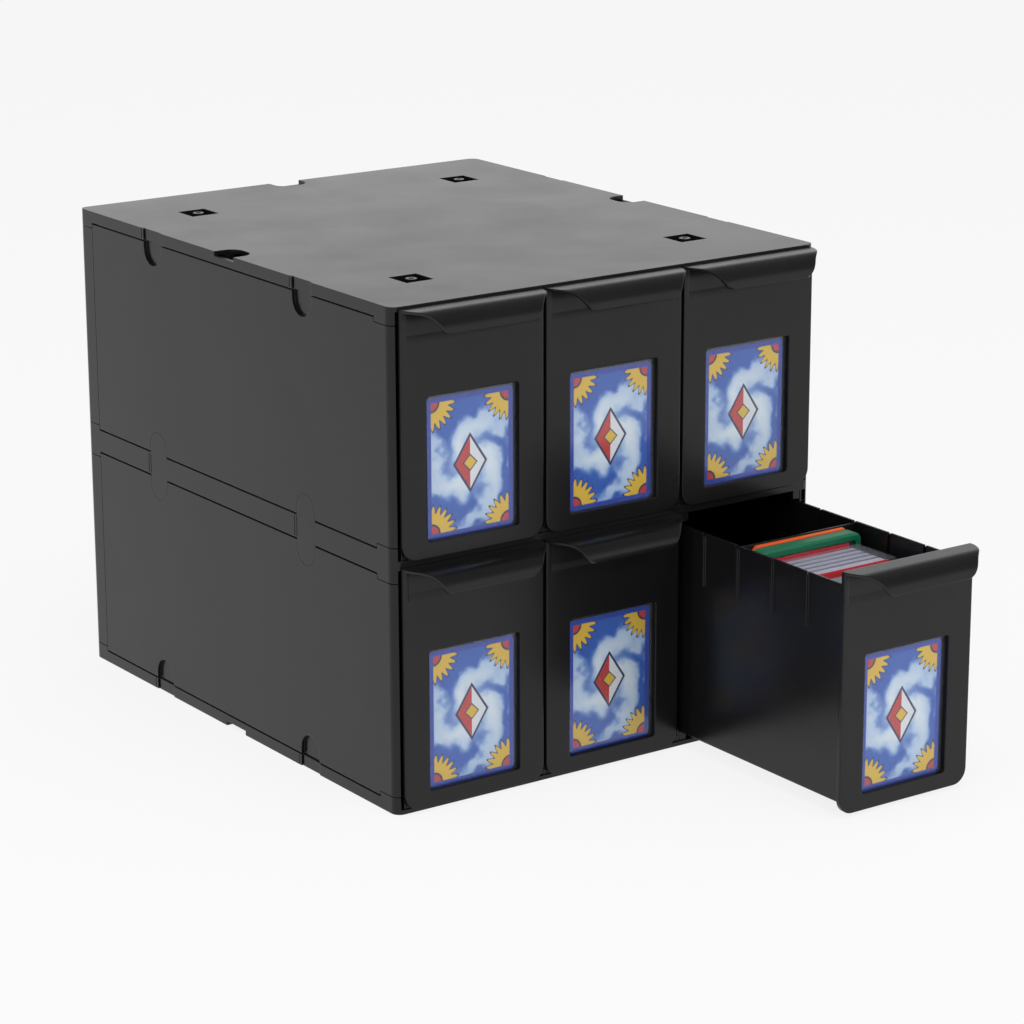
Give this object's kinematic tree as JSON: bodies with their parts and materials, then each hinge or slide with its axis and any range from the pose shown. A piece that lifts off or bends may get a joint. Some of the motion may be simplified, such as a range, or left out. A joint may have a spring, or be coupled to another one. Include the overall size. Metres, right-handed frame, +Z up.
{
  "type": "trading card drawer box",
  "caption": "Black plastic drawer box for trading cards, with stacked levels of pull-out drawers, lipped fronts, clear card windows and slotted tubs with dividers.",
  "frame": {"origin": "middle of the casing's underside, on the surface it stands on", "axes": "+X to the right seen from the front, -Y to the front (drawers pull out along -Y), +Z up"},
  "size_m": [0.325, 0.5704, 0.3192],
  "materials": {
    "casing_black": "satin moulded",
    "drawer_black": "satin moulded",
    "divider_black": "satin moulded",
    "clear_sleeve": "clear gloss",
    "display_card": "coated print",
    "orange_plastic": "satin",
    "green_bumper": "satin silicone",
    "clear_case": "clear gloss"
  },
  "bodies": {
    "casing": {"bottom_plate": "casing_black", "middle_plate": "casing_black", "top_plate": "casing_black", "lower_left_side": "casing_black", "lower_right_side": "casing_black", "lower_back": "casing_black", "lower_left_partition": "casing_black", "lower_right_partition": "casing_black", "upper_left_side": "casing_black", "upper_right_side": "casing_black", "upper_back": "casing_black", "upper_left_partition": "casing_black", "upper_right_partition": "casing_black"},
    "lower_left_drawer": {"lower_left_drawer": "drawer_black", "lower_left_sleeve": "clear_sleeve", "lower_left_card": "display_card", "lower_left_divider": "divider_black"},
    "lower_middle_drawer": {"lower_middle_drawer": "drawer_black", "lower_middle_sleeve": "clear_sleeve", "lower_middle_card": "display_card", "lower_middle_divider": "divider_black"},
    "lower_right_drawer": {"lower_right_drawer": "drawer_black", "lower_right_sleeve": "clear_sleeve", "lower_right_card": "display_card", "lower_right_divider": "divider_black", "orange_card_case": "orange_plastic", "green_case_frame": "green_bumper", "framed_card_slab": "clear_case", "card_slab_1": "clear_case", "card_slab_2": "clear_case", "card_slab_3": "clear_case", "card_slab_4": "clear_case", "thick_card_slab": "clear_case"},
    "upper_left_drawer": {"upper_left_drawer": "drawer_black", "upper_left_sleeve": "clear_sleeve", "upper_left_card": "display_card", "upper_left_divider": "divider_black"},
    "upper_middle_drawer": {"upper_middle_drawer": "drawer_black", "upper_middle_sleeve": "clear_sleeve", "upper_middle_card": "display_card", "upper_middle_divider": "divider_black"},
    "upper_right_drawer": {"upper_right_drawer": "drawer_black", "upper_right_sleeve": "clear_sleeve", "upper_right_card": "display_card", "upper_right_divider": "divider_black"}
  },
  "joints": [
    {"name": "lower_left_drawer_slide", "type": "slide", "parent": "casing", "child": "lower_left_drawer", "axis": [0, -1, 0], "range_m": [0, 0.3]},
    {"name": "lower_middle_drawer_slide", "type": "slide", "parent": "casing", "child": "lower_middle_drawer", "axis": [0, -1, 0], "range_m": [0, 0.3]},
    {"name": "lower_right_drawer_slide", "type": "slide", "parent": "casing", "child": "lower_right_drawer", "axis": [0, -1, 0], "range_m": [-0.159, 0.141]},
    {"name": "upper_left_drawer_slide", "type": "slide", "parent": "casing", "child": "upper_left_drawer", "axis": [0, -1, 0], "range_m": [0, 0.3]},
    {"name": "upper_middle_drawer_slide", "type": "slide", "parent": "casing", "child": "upper_middle_drawer", "axis": [0, -1, 0], "range_m": [0, 0.3]},
    {"name": "upper_right_drawer_slide", "type": "slide", "parent": "casing", "child": "upper_right_drawer", "axis": [0, -1, 0], "range_m": [0, 0.3]}
  ]
}
